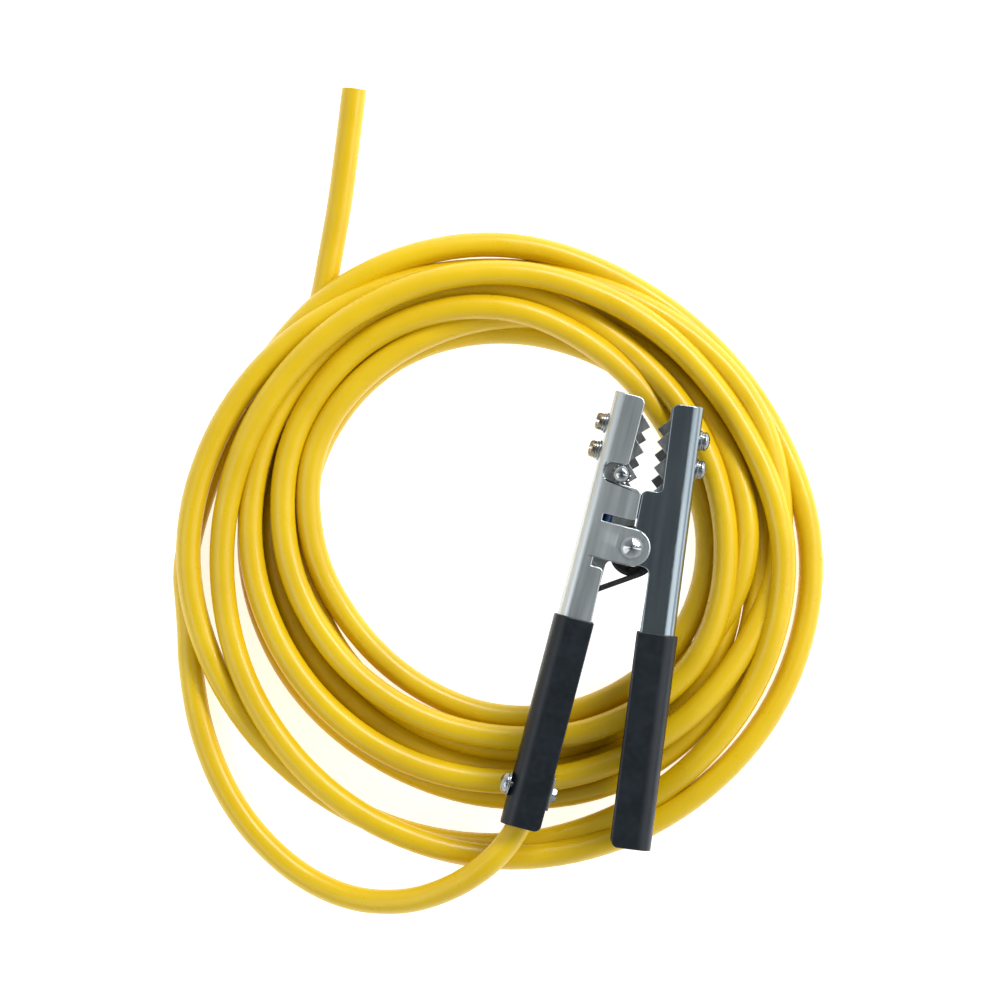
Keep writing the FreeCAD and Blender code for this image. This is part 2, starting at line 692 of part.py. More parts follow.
def pivot():
    """The domed rivet, its spacer bush and the torsion spring around them."""
    at = Vector(0, -size("mouth_to_pivot"), 0)
    top = size("wide / 2 + lug_gap + thick")
    bottom = top + size("head_gap")
    shank = cylinder(
        "rivet_shank",
        "pin_radius",
        "wide + 2 * lug_gap + 2 * thick + head_gap",
        Placement(at - Z * bottom, Rotation()),
    )
    upper = dome("rivet_top", "rivet_head", "rivet_dome", Placement(at + Z * top, Rotation()))
    turned = Placement(at - Z * bottom, Rotation(X, 180))
    lower = dome("rivet_bottom", "rivet_head", "rivet_dome", turned)
    node("pivot_rivet", fuse("pivot_rivet_whole", [shank, upper, lower]))
    foot = Placement(at - Z * size("wide / 2 - thick"), Rotation())
    bush = washer("bush", "bush_radius", "pin_radius", "wide - 2 * thick - lug_gap", foot)
    node("pivot_bush", bush)

    middle = at + Vector(size("spring_x"), size("spring_y"), 0)
    start = size("spring_start")
    rise = size("spring_high")
    radius = size("spring_radius")
    helix = doc.addObject("Part::Helix", "spring_helix")
    bind(helix, "Radius", "spring_radius")
    bind(helix, "Height", "spring_high")
    bind(helix, "Pitch", "spring_high / spring_turns")
    helix.LocalCoord = "Left-handed"
    helix.Placement = Placement(middle - Z * (rise / 2), Rotation(Z, start))
    doc.recompute()
    section = doc.addObject("Part::Circle", "spring_section")
    bind(section, "Radius", "wire / 2")
    angle = math.radians(start)
    outward = Vector(math.cos(angle), math.sin(angle), 0)
    clockwise = Vector(math.sin(angle), -math.cos(angle), 0)
    foot = middle - Z * (rise / 2) + outward * radius
    section.Placement = Placement(foot, Rotation(Z, clockwise))
    turns = doc.addObject("Part::Sweep", "spring_turns_sweep")
    turns.Sections = [section]
    turns.Spine = (helix, ["Edge%d" % (n + 1) for n in range(len(helix.Shape.Edges))])
    turns.Solid = True
    turns.Frenet = True
    lower_leg = cylinder("spring_lower_leg", "wire / 2", "lower_leg", Placement(foot, Rotation(Z, -clockwise)))
    end_angle = math.radians(start - 360 * size("spring_turns"))
    leaving = Vector(math.sin(end_angle), -math.cos(end_angle), 0)
    head = middle + Z * (rise / 2) + Vector(math.cos(end_angle), math.sin(end_angle), 0) * radius
    upper_leg = cylinder("spring_upper_leg", "wire / 2", "upper_leg", Placement(head, Rotation(Z, leaving)))
    node("torsion_spring", fuse("torsion_spring_whole", [turns, lower_leg, upper_leg]))


# ---- the strain relief ------------------------------------------------------------------------------


def strain_relief():
    """One screw beside the cable pulls a saddle down on the jacket."""
    arm = "cable_arm"
    v, z = size("relief_v"), size("relief_z")
    outside = along(arm, (-size("grip_thick"), v, z), -X)
    head_place = along(arm, (-size("grip_thick + washer_thick"), v, z), -X)
    node(
        "strain_relief_washer",
        washer("relief_washer", "relief_head + 0.7", "stud_radius", "washer_thick", outside),
    )
    length = "grip_edge + saddle_thick + low_nut_thick + 0.5 + grip_thick + washer_thick"
    end_u = size("grip_edge + saddle_thick + low_nut_thick + 0.5")
    shank = cylinder("relief_shank", "stud_radius", length, along(arm, (end_u, v, z), -X))
    head = dome("relief_head_dome", "relief_head", "relief_dome", head_place)
    node("strain_relief_screw", fuse("relief_screw_whole", [shank, head]))
    plate = box(
        "saddle_plate",
        ("grip_edge", "relief_v - saddle_long / 2", "-wide / 2 - 0.5"),
        ("grip_edge + saddle_thick", "relief_v + saddle_long / 2", "wide / 2 + 0.5"),
        arm_place(arm),
    )
    pad = box(
        "saddle_pad",
        ("cable_u + cable / 2", "relief_v - saddle_long / 2 + 1", "cable_z - 4.5"),
        ("grip_edge + saddle_thick", "relief_v + saddle_long / 2 - 1", "cable_z + 4.5"),
        arm_place(arm),
    )
    whole = fuse("saddle_whole", [plate, pad])
    bore = cylinder("saddle_bore", "stud_radius", "wide", along(arm, (size("handle_edge"), v, z), X))
    node("strain_relief_saddle", subtract("saddle_cut", whole, bore))
    nut_place = along(arm, (size("grip_edge + saddle_thick"), v, z), X)
    node(
        "strain_relief_nut",
        nut("relief_nut", "small_nut_flat", "stud_radius", "low_nut_thick", nut_place),
    )


# ---- the free cable ---------------------------------------------------------------------------------

COIL_MIDDLE = Vector(-64.4, -60, 0)  # middle of the outside of the turns
COIL_OUTLINE = [  # degrees and radius, clockwise from the lead's outer side to its inner side
    (196, 164.2), (185, 162), (160, 161.5), (130, 161.5), (100, 161.5), (70, 161.5), (40, 161.5),
    (10, 161.5), (-20, 161.2), (-45, 160.5), (-70, 159.6), (-90, 158.6), (-105, 155.6),
    (-118, 151.6), (-130, 149.2), (-143, 150),
]
HOLE_MIDDLE = Vector(-59, -46, 0)
HOLE_RADIUS = 95


def coil_spot(degrees, radius):
    """A point of the coil's outline around its middle."""
    angle = math.radians(degrees)
    return COIL_MIDDLE + Vector(math.cos(angle), math.sin(angle), 0) * radius


def lead_route():
    """From under the saddle, out of the grip, down beside the coil and round to its outer turn."""
    down = size("coil_top - coil_high + cable / 2")
    first, second = in_arm([
        (size("cable_u"), size("lead_v"), size("cable_z")),
        (size("cable_u"), size("lead_v + cable"), size("cable_z")),
    ])
    return [
        first,
        second,
        Vector(-30.6, -200.5, -2.1),
        Vector(-40.5, -216.5, -3.2),
        Vector(-56, -231.5, -8.6),
        Vector(-78, -244, -16.5),
        Vector(-108, -248, -24.8),
        Vector(-141, -237.5, -29.6),
        Vector(-172, -214, down),
        Vector(-194.5, -181.5, down),
        Vector(-207, -147.5, down),
        Vector(-211.5, -126, down),
    ]


def coil(lead):
    """The outer shape of the loose turns, stepped where the lead joins the outermost one."""
    body = doc.addObject("PartDesign::Body", "cable_coil")
    sketch = sketch_on(body, "XY_Plane", "coil_outline")
    bind(sketch, ".AttachmentOffset.Base.z", "coil_top - coil_high")
    end = Vector(lead[-1].x, lead[-1].y, 0)
    heading = end - Vector(lead[-2].x, lead[-2].y, 0)
    heading.normalize()
    aside = Vector(-heading.y, heading.x, 0) * (size("cable") / 2)
    outer, inner = end + aside, end - aside
    spots = [outer] + [coil_spot(*spot) for spot in COIL_OUTLINE] + [inner]
    curve = Part.BSplineCurve()
    curve.interpolate(spots)
    sketch.addGeometry(curve)
    sketch.addGeometry(Part.LineSegment(inner, outer))
    sketch.addGeometry(Part.Circle(HOLE_MIDDLE, Z, HOLE_RADIUS))
    pad = body.newObject("PartDesign::Pad", "coil_turns")
    pad.Profile = sketch
    bind(pad, "Length", "coil_high")
    doc.recompute()
    top = size("coil_top")
    rims = [
        f"Edge{number}"
        for number, edge in enumerate(body.Shape.Edges, 1)
        if edge.BoundBox.ZMin > top - 0.1 and edge.Curve.TypeId != "Part::GeomLine"
    ]
    fillet = body.newObject("PartDesign::Fillet", "coil_rims")
    fillet.Base = (pad, rims)
    bind(fillet, "Radius", "coil_edge")
    doc.recompute()
    node("cable_coil", body)
    return body


def tail_route():
    """From under the turns to the cut end, flat on the floor."""
    down = size("coil_top - coil_high + cable / 2")
    return [
        Vector(-176.2, 44, down),
        Vector(-176.6, 70, down),
        Vector(-176.9, 104, down),
        Vector(-180.8, 155.1, down),
    ]


# ---- make, check and write ---------------------------------------------------------------------------

for arm_name in ARMS:
    channel(arm_name)
    grip(arm_name)
    jaw(arm_name)
    jaw_fasteners(arm_name)
terminal()
cores()
pivot()
strain_relief()
route = lead_route()
tube("cable_lead", route, size("cable"))
turns_body = coil(route)
tail = tube("cable_tail_whole", tail_route(), size("cable"))
del nodes["cable_tail_whole"]
doc.recompute()
trimmed = doc.addObject("Part::Feature", "cable_tail")
trimmed.Shape = tail.Shape.cut(turns_body.Shape)
node("cable_tail", trimmed)
doc.recompute()

for thing in doc.Objects:
    if any(word in thing.State for word in ("Invalid", "Error")):
        raise RuntimeError(f"{thing.Label} failed: {thing.State}")
os.makedirs("parts", exist_ok=True)
for label, thing in nodes.items():
    shape = thing.Shape
    if shape.isNull() or not shape.isValid() or not shape.Solids:
        raise RuntimeError(f"{label} has no valid solid")
    shape.exportStep(f"parts/{label}.step")
    print(label, len(shape.Solids), "solids", "%.0f mm3" % shape.Volume)
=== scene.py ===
"""Looks for the ground clamp: its cable as one cord, its small fasteners, materials, light and camera.

Metres, in the frame of the CAD model: origin in the middle of the jaws' mouth, +Y towards the jaws,
+Z up. The cable lies on the floor and the clamp lies on the cable.
"""
import math

import bmesh
import bpy
from mathutils import Matrix, Vector


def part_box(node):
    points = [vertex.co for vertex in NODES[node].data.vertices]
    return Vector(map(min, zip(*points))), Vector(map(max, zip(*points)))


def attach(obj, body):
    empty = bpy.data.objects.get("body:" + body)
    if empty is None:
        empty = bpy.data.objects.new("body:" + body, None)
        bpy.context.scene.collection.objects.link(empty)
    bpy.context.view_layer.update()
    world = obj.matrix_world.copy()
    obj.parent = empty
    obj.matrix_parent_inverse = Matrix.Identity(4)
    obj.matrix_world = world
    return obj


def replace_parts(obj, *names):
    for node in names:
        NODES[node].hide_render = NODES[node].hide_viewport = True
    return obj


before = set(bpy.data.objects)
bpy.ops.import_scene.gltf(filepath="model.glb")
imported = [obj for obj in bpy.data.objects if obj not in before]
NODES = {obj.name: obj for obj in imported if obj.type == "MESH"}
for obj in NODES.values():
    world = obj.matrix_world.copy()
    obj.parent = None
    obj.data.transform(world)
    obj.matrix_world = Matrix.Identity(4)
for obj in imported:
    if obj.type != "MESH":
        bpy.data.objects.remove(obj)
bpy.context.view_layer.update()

MM = 0.001
ARMS = ("cable_arm", "plain_arm")
LEAN = math.radians(3.65)  # each arm's lean from the clamp's middle line
ARM_LENGTH = 224  # millimetres, as are the three below
PIVOT_Y = -46
PIVOT_IN_ARM = (27.2, 73.8, 0)
JAW_SCREWS_AT = (16.7, 30.8)  # along the arm from its tip


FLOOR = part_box("cable_coil")[0][2]
CABLE_RADIUS = 6.25 * MM


# ---- cable -------------------------------------------------------------------------------------

LEAD = [  # the CAD lead's route, in millimetres: under the saddle, out of the grip, down to the coil
    (-23.59, -165.88, -2.1), (-24.39, -178.35, -2.1), (-30.6, -200.5, -2.1), (-40.5, -216.5, -3.2),
    (-56, -231.5, -8.6), (-78, -244, -16.5), (-108, -248, -24.8), (-141, -237.5, -29.6),
    (-172, -214, -30.75), (-194.5, -181.5, -30.75), (-207, -147.5, -30.75), (-211.5, -126, -30.75),
]
TAIL = [  # the CAD tail's route, from under the coil to the cut end
    (-181, 12, -30.75), (-176.2, 44, -30.75), (-176.6, 70, -30.75), (-176.9, 104, -30.75),
    (-180.8, 155.1, -30.75),
]
COIL_MIDDLE = (-64, -60)
COIL_START = 190.95  # degrees, where the lead has become the first turn
STEPS = 12  # points in each turn
# Each loose turn from the lead's side round clockwise: its radius in millimetres at each step, and
# its layer there, 0 on the floor and 1 on another turn.
TURNS = [
    ((155.5, 148, 155, 155, 147.5, 149, 158, 160, 158, 155, 150, 144.5),
     (0, 0, 0.8, 0.4, 0, 0, 0, 0, 0.2, 0.9, 1, 1)),
    ((139.5, 138.5, 139, 140, 136.5, 135, 143.5, 145, 146.5, 149.5, 151.5, 155),
     (1, 1.6, 1.7, 1.6, 1.3, 1.1, 1, 0.7, 0.2, 0, 0, 0.5)),
    ((158, 152.5, 145.5, 140.5, 142, 147.5, 142, 130, 121, 116, 116, 119),
     (1, 1.1, 1, 0, 0.5, 1, 0, 0.9, 0.9, 0.9, 1, 1)),
    ((125.5, 132, 135.5, 133.5, 120, 115, 113.5, 114.3, 102.5, 93.5, 92.5, 97.5),
     (0.9, 0.9, 0.7, 0.7, 0.7, 1, 1, 1, 1, 0.8, 0.9, 1)),
    ((107.5, 119.5, 125.5, 123, 111, 103.5, 106, 101, 91.5, 84, 79.5, 82),
     (1, 1, 1.1, 1.5, 1.1, 0.1, 0, 0, 0, 0, 0, 0.1)),
    ((93.5, 108, 112, 117.5, 124, 125, 126, 111.5, 107, 101, 96, 96.5),
     (0.7, 0.9, 0.9, 0.6, 0, 0.3, 0.9, 0.1, 0, 0, 0, 0)),
    ((99.5, 105.5, 110.5, 110.5, 111, 114, 117, 123, 119, 112, 107, 108.5),
     (0, 0, 0, 0, 0, 0, 0, 0, 0, 0, 0, 0)),
    ((115.5, 117, 125, 124, 135, 135.5, 130.5, 135.5, 132, 124.5, 120.5, 123),
     (0, 0, 0, 0, 0, 0, 0, 0, 0, 0, 0, 0)),
    ((127, 128.5), (0, 0)),
]


def coil_points():
    """The loose turns, worked out step by step from their radii and layers."""
    points = []
    widened = 1 / math.cos(math.pi / STEPS)  # the spline runs this much inside its points
    step = 0
    for radii, layers in TURNS:
        for radius, layer in zip(radii, layers):
            angle = math.radians(COIL_START - step * 360 / STEPS)
            x = COIL_MIDDLE[0] + radius * widened * math.cos(angle)
            y = COIL_MIDDLE[1] + radius * widened * math.sin(angle)
            height = FLOOR / MM + CABLE_RADIUS / MM * (1 + 2 * layer)
            points.append((x, y, height))
            step += 1
    return points


def spline(name, points, radius):
    """A round cord along one smooth open curve through millimetre points."""
    curve = bpy.data.curves.new(name, "CURVE")
    curve.dimensions = "3D"
    curve.bevel_depth = radius
    curve.bevel_resolution = 8
    curve.resolution_u = 10
    curve.use_fill_caps = True
    line = curve.splines.new("NURBS")
    line.points.add(len(points) - 1)
    for point, place in zip(line.points, points):
        point.co = (*(value * MM for value in place), 1)
    line.order_u = 3
    line.use_endpoint_u = True
    cord = bpy.data.objects.new(name, curve)
    bpy.context.scene.collection.objects.link(cord)
    return cord


cable = spline("cable", LEAD + coil_points() + TAIL, CABLE_RADIUS)


# ---- camera, light and floor ---------------------------------------------------------------------

camera_data = bpy.data.cameras.new("camera")
camera = bpy.data.objects.new("camera", camera_data)
bpy.context.scene.collection.objects.link(camera)
camera.location = (-0.0688, -0.0352, 2.4)
camera.rotation_euler = (0, 0, math.radians(10.95))
camera_data.sensor_width = 36
camera_data.lens = 172.8
camera_data.clip_end = 20
bpy.context.scene.camera = camera


def area_light(name, place, aim, width, height, watts):
    """A soft rectangular lamp that faces aim."""
    data = bpy.data.lights.new(name, "AREA")
    data.shape = "RECTANGLE"
    data.size = width
    data.size_y = height
    data.energy = watts
    lamp = bpy.data.objects.new(name, data)
    bpy.context.scene.collection.objects.link(lamp)
    lamp.location = place
    lamp.rotation_euler = (Vector(aim) - Vector(place)).to_track_quat("-Z", "Y").to_euler()


bpy.context.scene.view_settings.view_transform = "Standard"
AIM = (-0.065, -0.045, -0.02)
area_light("key", (0.66, 1.0, 0.95), AIM, 1.7, 0.3, 27)
area_light("right_strip", (1.05, -0.05, 1.15), AIM, 0.3, 1.5, 3)
area_light("left_strip", (-1.15, -0.15, 1.45), AIM, 0.4, 1.4, 2.4)
area_light("fill", (-1.1, -0.8, 1.1), AIM, 1.2, 0.8, 5)

world = bpy.data.worlds.new("world")
bpy.context.scene.world = world
world.use_nodes = True
sky = world.node_tree
direction = sky.nodes.new("ShaderNodeTexCoord")
split = sky.nodes.new("ShaderNodeSeparateXYZ")
shade = sky.nodes.new("ShaderNodeValToRGB")
sky.links.new(direction.outputs["Generated"], split.inputs["Vector"])
sky.links.new(split.outputs["Z"], shade.inputs["Fac"])
sky.links.new(shade.outputs["Color"], sky.nodes["Background"].inputs["Color"])
shade.color_ramp.elements[0].position = 0.4
shade.color_ramp.elements[0].color = (0.85, 0.88, 0.92, 1)
shade.color_ramp.elements[1].position = 0.93
shade.color_ramp.elements[1].color = (0.125, 0.138, 0.145, 1)
sky.nodes["Background"].inputs["Strength"].default_value = 1.0

floor_mesh = bpy.data.meshes.new("floor")
floor_mesh.from_pydata([(-6, -6, 0), (6, -6, 0), (6, 6, 0), (-6, 6, 0)], [], [(0, 1, 2, 3)])
floor = bpy.data.objects.new("floor", floor_mesh)
floor.location = (0, 0, FLOOR)
bpy.context.scene.collection.objects.link(floor)


# ---- materials -----------------------------------------------------------------------------------

def material(name, colour, metallic=0.0, roughness=0.4, **more):
    """A principled material; more names other sockets of its shader with _ for each space."""
    made = bpy.data.materials.new(name)
    made.use_nodes = True
    inputs = made.node_tree.nodes["Principled BSDF"].inputs
    inputs["Base Color"].default_value = (*colour, 1)
    inputs["Metallic"].default_value = metallic
    inputs["Roughness"].default_value = roughness
    for socket, value in more.items():
        inputs[socket.replace("_", " ")].default_value = value
    return made


def noise(made, size, stretch=(1, 1, 1), turn=0.0, detail=2.0):
    """Noise whose grains are size metres across, drawn out by stretch along axes turned about Z."""
    tree = made.node_tree
    place = tree.nodes.new("ShaderNodeTexCoord")
    mapping = tree.nodes.new("ShaderNodeMapping")
    mapping.vector_type = "TEXTURE"
    mapping.inputs["Rotation"].default_value = (0, 0, turn)
    mapping.inputs["Scale"].default_value = stretch
    grain = tree.nodes.new("ShaderNodeTexNoise")
    grain.inputs["Scale"].default_value = 1 / size
    grain.inputs["Detail"].default_value = detail
    tree.links.new(place.outputs["Object"], mapping.inputs["Vector"])
    tree.links.new(mapping.outputs["Vector"], grain.inputs["Vector"])
    return grain.outputs["Fac"]


def ramp(made, source, stops):
    """Colours the shader from a source, through stops of position and colour."""
    tree = made.node_tree
    colours = tree.nodes.new("ShaderNodeValToRGB")
    elements = colours.color_ramp.elements
    while len(elements) < len(stops):
        elements.new(0.5)
    for element, (position, colour) in zip(elements, stops):
        element.position = position
        element.color = (*colour, 1)
    tree.links.new(source, colours.inputs["Fac"])
    tree.links.new(colours.outputs["Color"], tree.nodes["Principled BSDF"].inputs["Base Color"])


def spread(made, source, low, high):
    """Varies the shader's roughness between low and high."""
    tree = made.node_tree
    varied = tree.nodes.new("ShaderNodeMapRange")
    varied.inputs["From Min"].default_value = 0.3
    varied.inputs["From Max"].default_value = 0.7
    varied.inputs["To Min"].default_value = low
    varied.inputs["To Max"].default_value = high
    tree.links.new(source, varied.inputs["Value"])
    tree.links.new(varied.outputs["Result"], tree.nodes["Principled BSDF"].inputs["Roughness"])


def relief(made, *layers):
    """Bumps the surface by each source in turn, given with its height in metres."""
    tree = made.node_tree
    below = None
    for source, height in layers:
        bumps = tree.nodes.new("ShaderNodeBump")
        bumps.inputs["Distance"].default_value = height
        tree.links.new(source, bumps.inputs["Height"])
        if below:
            tree.links.new(below, bumps.inputs["Normal"])
        below = bumps.outputs["Normal"]
    tree.links.new(below, tree.nodes["Principled BSDF"].inputs["Normal"])


def steel(name, dark, light, low, high, turn=0.0, grain=0.0006, draw=30, height=0.000004):
    """Brushed metal: streaks along the arm in its colour, its roughness and its surface."""
    made = material(name, light, 1.0, high)
    streaks = noise(made, grain * 4, (1, draw, 1), turn, 3)
    ramp(made, streaks, [(0.3, dark), (0.7, light)])
    spread(made, noise(made, grain * 9, (1, draw / 3, 1), turn, 2), low, high)
    bands = noise(made, 0.009, (1, 40, 1), turn, 1)
    relief(made, (bands, 0.00008), (noise(made, grain, (1, draw, 1), turn, 2), height))
    return made


def mottled(name, colour, metallic, roughness, grain, stops, **more):
    """A material whose colour wanders through stops, with a grain given as its size and detail."""
    made = material(name, colour, metallic, roughness, **more)
    ramp(made, noise(made, grain[0], detail=grain[1]), stops)
    return made


# The two arms are one stainless steel: the cable arm's copy is lighter and the plain arm's copy darker, as
# painted light and painted shade.
MATERIALS = {
    "cable_arm_steel": steel(
        "cable_arm_steel", (0.48, 0.52, 0.53), (0.61, 0.65, 0.65), 0.34, 0.42, -LEAN
    ),
    "plain_arm_steel": steel(
        "plain_arm_steel", (0.24, 0.29, 0.32), (0.32, 0.37, 0.40), 0.20, 0.26, LEAN, height=0.000002
    ),
}

yellow = mottled(
    "yellow_jacket", (0.80, 0.58, 0.006), 0, 0.30, (0.05, 3),
    [(0.3, (0.63, 0.405, 0.003)), (0.7, (0.72, 0.485, 0.004))],
)
spread(yellow, noise(yellow, 0.012, detail=3), 0.26, 0.38)
relief(yellow, (noise(yellow, 0.022, detail=1), 0.0006), (noise(yellow, 0.0015, detail=2), 0.00003))

jaw_steel = steel(
    "jaw_steel", (0.22, 0.23, 0.23), (0.34, 0.35, 0.35), 0.34, 0.48, grain=0.0005, draw=4
)
zinc = mottled(
    "zinc_plate", (0.62, 0.63, 0.62), 1.0, 0.25, (0.004, 4),
    [(0.35, (0.26, 0.28, 0.29)), (0.65, (0.42, 0.45, 0.46))],
)
spread(zinc, noise(zinc, 0.001, detail=3), 0.18, 0.34)
galvanised = mottled(
    "galvanised_plate", (0.4, 0.42, 0.43), 1.0, 0.34, (0.006, 1),
    [(0.35, (0.34, 0.36, 0.37)), (0.65, (0.42, 0.44, 0.45))],
)
spread(galvanised, noise(galvanised, 0.004, detail=2), 0.28, 0.38)
# Zinc with a tan tint: partly the plating's own warm tone, partly a painted reflection of the yellow cable.
tan_zinc_and_painted_cable_reflection = mottled(
    "tan_zinc_and_painted_cable_reflection", (0.50, 0.44, 0.32), 1.0, 0.3, (0.003, 4),
    [(0.35, (0.22, 0.18, 0.12)), (0.65, (0.42, 0.37, 0.28))],
)
spread(tan_zinc_and_painted_cable_reflection, noise(tan_zinc_and_painted_cable_reflection, 0.001, detail=3), 0.2, 0.36)
polished = mottled(
    "polished_steel", (0.6, 0.62, 0.63), 1.0, 0.16, (0.003, 3),
    [(0.3, (0.30, 0.32, 0.33)), (0.7, (0.42, 0.44, 0.45))], Anisotropic=0.9, Anisotropic_Rotation=0.25,
)
spread(polished, noise(polished, 0.0012, detail=3), 0.10, 0.15)
lathe_marks = polished.node_tree.nodes.new("ShaderNodeTangent")
lathe_marks.direction_type = "RADIAL"
lathe_marks.axis = "Z"
polished.node_tree.links.new(
    lathe_marks.outputs["Tangent"], polished.node_tree.nodes["Principled BSDF"].inputs["Tangent"]
)
black = mottled(
    "spring_steel", (0.02, 0.02, 0.022), 0.4, 0.35, (0.002, 4),
    [(0.35, (0.012, 0.012, 0.014)), (0.65, (0.035, 0.035, 0.038))],
)
spread(black, noise(black, 0.001, detail=3), 0.28, 0.45)
vinyl = mottled(
    "vinyl_grip", (0.006, 0.009, 0.012), 0, 0.36, (0.012, 3),
    [(0.3, (0.005, 0.008, 0.011)), (0.7, (0.010, 0.014, 0.019))], Specular_IOR_Level=0.35,
)
spread(vinyl, noise(vinyl, 0.003, detail=3), 0.30, 0.42)
relief(vinyl, (noise(vinyl, 0.0008, detail=3), 0.00002), (noise(vinyl, 0.02, detail=1), 0.0002))
blue = mottled(
    "blue_core", (0.004, 0.06, 0.22), 0, 0.3, (0.006, 3),
    [(0.3, (0.003, 0.05, 0.19)), (0.7, (0.006, 0.08, 0.27))],
)
brown = mottled(
    "brown_core", (0.07, 0.025, 0.012), 0, 0.3, (0.006, 3),
    [(0.3, (0.055, 0.02, 0.01)), (0.7, (0.09, 0.035, 0.016))],
)
for core_paint in (blue, brown):
    spread(core_paint, noise(core_paint, 0.002, detail=2), 0.24, 0.36)
    relief(core_paint, (noise(core_paint, 0.003, detail=1), 0.00008))
tinned = mottled(
    "tinned_copper", (0.55, 0.55, 0.53), 1.0, 0.3, (0.003, 4),
    [(0.35, (0.45, 0.44, 0.41)), (0.65, (0.62, 0.62, 0.61))],
)
spread(tinned, noise(tinned, 0.0012, detail=3), 0.24, 0.4)
relief(tinned, (noise(tinned, 0.0008, detail=2), 0.00001))

BY_SLOT = {
    "jaw_steel": jaw_steel, "zinc_plate": zinc, "polished_steel": polished, "spring_steel": black,
    "vinyl_grip": vinyl, "blue_core": blue, "brown_core": brown, "tinned_copper": tinned,
    "yellow_jacket": yellow, "stainless_steel": MATERIALS["cable_arm_steel"],
}
for name, thing in NODES.items():
    for slot in thing.material_slots:
        slot.material = BY_SLOT[slot.material.name]
# The plain arm's channel takes the darker copy of the same stainless steel: painted shade.
NODES["plain_arm_channel"].material_slots[0].material = MATERIALS["plain_arm_steel"]


# ---- pieces finer than the CAD solids --------------------------------------------------------------


def softened(name, width, paint, slot, body):
    """The node's own shape with its edges broken, as sheet metal and mouldings have them."""
    form = bmesh.new()
    form.from_mesh(NODES[name].data)
    bmesh.ops.remove_doubles(form, verts=form.verts, dist=0.002 * MM)
    one_degree = math.radians(1)
    bmesh.ops.dissolve_limit(form, angle_limit=one_degree, verts=form.verts, edges=form.edges)
    if name.endswith("_channel"):  # Slices keep the bend's long facets short beside the bevels.
        own = arm_matrix(body)
        for along in range(2, ARM_LENGTH, 3):
            bmesh.ops.bisect_plane(
                form, geom=[*form.verts, *form.edges, *form.faces], dist=0.0001 * MM,
                plane_co=own @ Vector((0, along * MM, 0)), plane_no=own.col[1].to_3d(),
            )
    mesh = bpy.data.meshes.new(name + "_soft")
    form.to_mesh(mesh)
    form.free()
    piece = place(name + "_soft", mesh, paint, slot, body)
    bevel = piece.modifiers.new("edges", "BEVEL")
    bevel.width = width
    bevel.segments = 3
    bevel.use_clamp_overlap = False
    bevel.limit_method = "ANGLE"
    bevel.angle_limit = math.radians(35)
    shading = piece.modifiers.new("shading", "WEIGHTED_NORMAL")
    shading.keep_sharp = True
    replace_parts(piece, name)


def place(name, mesh, paint, slot, body):
    """Links a mesh as a piece on a body, smooth but for its sharp edges."""
    piece = bpy.data.objects.new(name, mesh)
    bpy.context.scene.collection.objects.link(piece)
    mesh.materials.append(paint)
    mesh.shade_smooth()
    mesh.set_sharp_from_angle(angle=math.radians(32))
    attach(piece, body)
    return piece


def arm_matrix(arm):
    """The arm's own frame in the frame of the model: u from the web, v from the tip, z across."""
    if arm == "cable_arm":
        turn = Matrix.Rotation(-LEAN, 4, "Z") @ Matrix.Rotation(math.pi, 4, "X")
    else:
        turn = Matrix.Rotation(math.pi + LEAN, 4, "Z")
    pivot = Vector(PIVOT_IN_ARM) * MM
    return Matrix.Translation(Vector((0, PIVOT_Y * MM, 0)) - turn @ pivot) @ turn


def standing(arm, start, toward, side):
    """A frame at start, in the arm's millimetres, with Z along toward and X along side."""
    up = Vector(toward).normalized()
    across = (Vector(side) - up * Vector(side).dot(up)).normalized()
    axes = Matrix((across, up.cross(across), up)).transposed().to_4x4()
    return arm_matrix(arm) @ Matrix.Translation(Vector(start) * MM) @ axes


def turned(profile, rounds=48):
    """A solid of revolution about Z, from millimetre pairs of radius and height."""
    form = bmesh.new()
    rings = []
    for radius, height in profile:
        if radius == 0:
            rings.append([form.verts.new((0, 0, height * MM))])
            continue
        rings.append([
            form.verts.new((radius * MM * math.cos(2 * math.pi * n / rounds),
                            radius * MM * math.sin(2 * math.pi * n / rounds), height * MM))
            for n in range(rounds)
        ])
    for low, high in zip(rings, rings[1:]):
        for n in range(rounds):
            after = (n + 1) % rounds
            corners = [low[n % len(low)], low[after % len(low)],
                       high[after % len(high)], high[n % len(high)]]
            form.faces.new(list(dict.fromkeys(corners)))  # a triangle where a ring is one point
    bmesh.ops.recalc_face_normals(form, faces=form.faces)
    return form


def ring(profile):
    """A closed profile turned about Z, such as a washer's."""
    return turned(profile + profile[:1])


def strip(form, rows, closed=False):
    """Faces between each row of corners and the next, with caps unless the rows close a circle."""
    sides = len(rows[0])
    for near, far in zip(rows, rows[1:] + rows[:1] if closed else rows[1:]):
        for n in range(sides):
            form.faces.new((near[n], near[(n + 1) % sides], far[(n + 1) % sides], far[n]))
    if not closed:
        form.faces.new(rows[0])
        form.faces.new(rows[-1])
    bmesh.ops.recalc_face_normals(form, faces=form.faces)


def threaded(start, end, radius, pitch=0.7, rounds=24):
    """A screw thread about Z from start to end, as one wound ridge, closed at both ends."""
    form = bmesh.new()
    steps = int((end - start) / pitch * rounds)
    ridge = 0.36
    rows = []
    for step in range(steps + 1):
        angle = 2 * math.pi * step / rounds
        height = start + (end - start) * step / steps
        depth = ridge * min(1, step / rounds, (steps - step) / rounds)  # it runs out at both ends
        row = []
        for out, rise in ((-0.5, -0.5), (-depth * 0.1, -0.5), (depth, 0),
                          (-depth * 0.1, 0.5), (-0.5, 0.5)):
            across = (radius - ridge + out) * MM
            row.append(form.verts.new((across * math.cos(angle), across * math.sin(angle),
                                       (height + rise * pitch) * MM)))
        rows.append(row)
    strip(form, rows)
    return form


